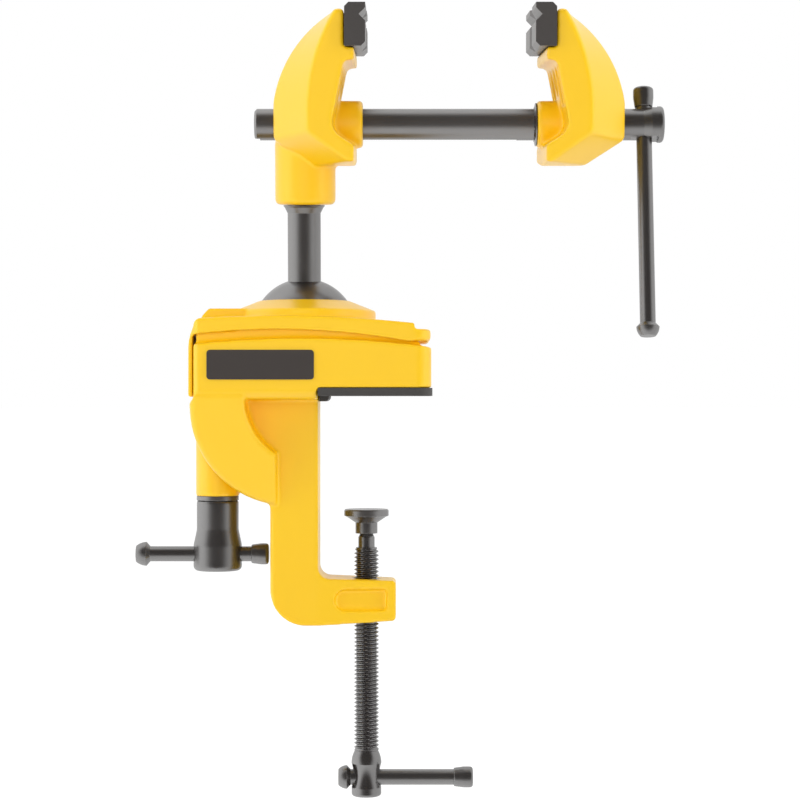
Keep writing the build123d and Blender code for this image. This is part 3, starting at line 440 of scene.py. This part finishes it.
def starRingMesh():
    # surface: (angle, way round the section) to a point of a dished sheet whose bore jumps
    # out to the slots' roots between the teeth
    ring, columns, across = starRing, starRing["columns"], starRing["across"]
    angle = np.arange(columns) * turn / columns
    inSlot = (angle * ring["teeth"] / turn) % 1 < ring["slotShare"]
    inner = np.where(inSlot, ring["slotRoot"], ring["bore"])
    share = np.concatenate([np.linspace(0, 1, across), np.linspace(1, 0, across)])[:, None]
    skin = np.repeat([0.0, ring["thickness"]], across)[:, None]
    radius = inner + share * (ring["rim"] - inner)
    lift = ring["dish"] * (ring["rim"] - radius) / (ring["rim"] - ring["bore"])
    points = np.stack([ring["plane"] - lift - skin, ring["middle"][0] + radius * np.cos(angle),
                       ring["middle"][1] + radius * np.sin(angle)], -1) / 1000
    index = np.arange(points.shape[0] * columns).reshape(-1, columns)
    below = np.roll(index, -1, axis=0)
    quads = np.stack([index, below, np.roll(below, -1, axis=1), np.roll(index, -1, axis=1)], -1)
    mesh = bpy.data.meshes.new("starRing")
    mesh.from_pydata(points.reshape(-1, 3).tolist(), [], quads.reshape(-1, 4).tolist())
    mesh.update()
    return mesh


newPiece(starRingMesh(), threadOxide, "moving_jaw", "tube_star_ring")
print("star ring pressed on")

# a casting's corners come out of the mould and the powder coat soft, and the turned knobs
# are tumbled: both are shown by a copy on an even grid with its corners eased
easedPieces = {                        # body, millimetres between points, times it is eased
    "clamp_frame": ("base", 0.8, 4),
    "clamp_cap": ("base", 0.6, 6),
    "fixed_jaw": ("fixed_jaw", 0.6, 18),
    "moving_jaw": ("moving_jaw", 0.6, 18),
    "lock_screw": ("lock_screw", 0.4, 10),
    "lock_bar_knob": ("lock_bar", 0.3, 12),
    "clamp_bar_knob": ("clamp_bar", 0.3, 12),
    "jaw_bar_knob": ("jaw_bar", 0.3, 12),
}
castings = ["clamp_frame", "clamp_cap", "fixed_jaw", "moving_jaw"]
weldWithin = 2e-6                      # metres; a CAD node's triangles come loose


def easedMesh(nodeName, grid, times):
    # surface: each point of an even grid on the CAD skin moves halfway to the middle of its
    # neighbours, over and over, which leaves flats alone and rounds the corners
    skin = nodes[nodeName].data.copy()
    welded = bmesh.new()
    welded.from_mesh(skin)
    bmesh.ops.remove_doubles(welded, verts=welded.verts, dist=weldWithin)
    welded.to_mesh(skin)
    welded.free()
    holder = inScene("holder", skin)
    even = holder.modifiers.new("even", "REMESH")
    even.mode = "VOXEL"
    even.voxel_size = grid / 1000
    ease = holder.modifiers.new("ease", "SMOOTH")
    ease.factor = 0.5
    ease.iterations = times
    eased = finishedMesh(nodeName + "Eased", holder)
    eased.materials.clear()
    return eased


for easedName, (body, grid, times) in easedPieces.items():
    finish = (enamel, "yellow_enamel") if easedName in castings else (oxide, "black_steel")
    newPiece(easedMesh(easedName, grid, times), finish[0], body, easedName)
print("corners eased on", len(easedPieces), "pieces")

studioCamera = {
    "place": (0.0151, -0.965, -0.0018),                # metres, looking straight back along Y
    "lens": 96.5, "sensor": 36, "nearest": 0.01, "farthest": 50,
}


def buildCamera():
    camera = inScene("studioCamera", bpy.data.cameras.new("studioCamera"))
    camera.location = studioCamera["place"]
    camera.rotation_euler = (math.pi / 2, 0, 0)
    camera.data.lens = studioCamera["lens"]
    camera.data.sensor_width = studioCamera["sensor"]
    camera.data.clip_start = studioCamera["nearest"]
    camera.data.clip_end = studioCamera["farthest"]
    bpy.context.scene.camera = camera


studioLamps = {                        # place, size across and up in metres, watts
    "leftBox": ((-1.1, -0.45, 0.05), 0.7, 1.4, 6.5),
    "rightBox": ((1.1, -0.30, 0.10), 0.6, 1.4, 7.0),
    "overheadBox": ((0.0, -0.2, 1.2), 1.1, 0.9, 2.5),
    "frontFill": ((-0.3, -1.9, -0.1), 1.6, 1.6, 18.5),
}


def buildLamps():
    # they light the object only; what its gloss shows is in the world
    for name, (place, across, up, watts) in studioLamps.items():
        lamp = bpy.data.lights.new(name, "AREA")
        lamp.shape = "RECTANGLE"
        lamp.size = across
        lamp.size_y = up
        lamp.energy = watts
        holder = inScene(name, lamp)
        holder.location = place
        holder.rotation_euler = Vector(place).to_track_quat("Z", "Y").to_euler()
        holder.visible_glossy = False


studioRoom = {
    "sheets": 0.46,                    # how white cloth all round lights the object
    "unlitHeading": (0, -0.91, 0.41),  # where gloss sees the unlit side of the room
    "unlitFrom": 0.62,                 # how far from that heading it starts to grow light
    "unlitTo": 1.12,                   # and where the soft boxes on either side are in full
    "unlit": 0.10,
    "boxes": 1.9,                      # the soft boxes, as gloss sees them
    "boxesTo": 0.2,                    # how far back along Y they reach
    "backdrop": 1.0,                   # the white behind, as gloss sees it
    "backdropFrom": 0.9,               # where along Y it has taken over
    "leftStronger": 1.35,              # each side of the room against its middle
    "rightStronger": 0.95,
}


def buildWorld():
    # white to the camera and through glass; even white cloth to a matt surface; and to a
    # glossy one the backdrop, the soft boxes and the unlit side of the room
    room = studioRoom
    world = bpy.data.worlds.new("studioWorld")
    bpy.context.scene.world = world
    world.use_nodes = True
    tree = world.node_tree
    tree.nodes.clear()
    heading = addNode(tree, "ShaderNodeTexCoord").outputs["Generated"]
    away = addNode(tree, "ShaderNodeVectorMath", {0: heading, 1: room["unlitHeading"]},
                   operation="DISTANCE")
    along = addNode(tree, "ShaderNodeSeparateXYZ", {0: heading})
    boxes = addNode(tree, "ShaderNodeMapRange", {
        "Value": along.outputs["Y"], "From Min": room["boxesTo"],
        "From Max": room["backdropFrom"], "To Min": room["boxes"],
        "To Max": room["backdrop"]})
    walls = addNode(tree, "ShaderNodeMapRange", {
        "Value": away.outputs["Value"], "From Min": room["unlitFrom"],
        "From Max": room["unlitTo"], "To Min": room["unlit"], "To Max": boxes.outputs[0]},
        interpolation_type="SMOOTHSTEP")
    sideways = addNode(tree, "ShaderNodeMapRange", {
        "Value": along.outputs["X"], "From Min": -1.0, "From Max": 1.0,
        "To Min": room["leftStronger"], "To Max": room["rightStronger"]})
    uneven = addNode(tree, "ShaderNodeMath", {0: walls.outputs[0], 1: sideways.outputs[0]},
                     operation="MULTIPLY")
    path = addNode(tree, "ShaderNodeLightPath")
    gloss = addNode(tree, "ShaderNodeMapRange", {
        "Value": path.outputs["Is Glossy Ray"], "To Min": room["sheets"],
        "To Max": uneven.outputs[0]})
    seen = addNode(tree, "ShaderNodeMath", {
        0: path.outputs["Is Camera Ray"], 1: path.outputs["Is Transmission Ray"]},
        operation="MAXIMUM")
    level = addNode(tree, "ShaderNodeMapRange", {
        "Value": seen.outputs[0], "To Min": gloss.outputs[0], "To Max": 1.0})
    sky = addNode(tree, "ShaderNodeBackground", {
        "Color": (1, 1, 1, 1), "Strength": level.outputs[0]})
    addNode(tree, "ShaderNodeOutputWorld", {"Surface": sky.outputs[0]})


# a pale floor far enough below for the clamp screw, which goes 18.5 mm down at its limit
studioFloor = {
    "drop": 0.020,                     # metres, as the reach
    "reach": 60.0,
    "paint": (0.9, 0.9, 0.9, 1),
    "glow": 1.55,
    "glowShare": 0.55,                 # of what the camera sees, so that it stays white
}


def buildFloor():
    look = studioFloor
    low, reach = cadBox[0][2] - look["drop"], look["reach"]
    mesh = bpy.data.meshes.new("studioFloor")
    mesh.from_pydata([(-reach, -reach, low), (reach, -reach, low), (reach, reach, low),
                      (-reach, reach, low)], [], [(0, 1, 2, 3)])
    floor = inScene("studioFloor", mesh)
    material, tree = newMaterial("paleFloor")
    path = addNode(tree, "ShaderNodeLightPath")
    paint = addNode(tree, "ShaderNodeBsdfDiffuse", {"Color": look["paint"]})
    glow = addNode(tree, "ShaderNodeEmission", {"Color": (1, 1, 1, 1),
                                                "Strength": look["glow"]})
    share = addNode(tree, "ShaderNodeMath", {
        0: path.outputs["Is Camera Ray"], 1: look["glowShare"]}, operation="MULTIPLY")
    ground = addNode(tree, "ShaderNodeMixShader", {
        0: share.outputs[0], 1: paint.outputs[0], 2: glow.outputs[0]})
    # gloss looks through the ground at the room, which goes on below it
    through = addNode(tree, "ShaderNodeBsdfTransparent")
    closeMaterial(tree, addNode(tree, "ShaderNodeMixShader", {
        0: path.outputs["Is Glossy Ray"], 1: ground.outputs[0], 2: through.outputs[0]}))
    mesh.materials.append(material)


buildCamera()
buildLamps()
buildWorld()
buildFloor()
bpy.context.scene.view_settings.view_transform = "Standard"
print("studio built")
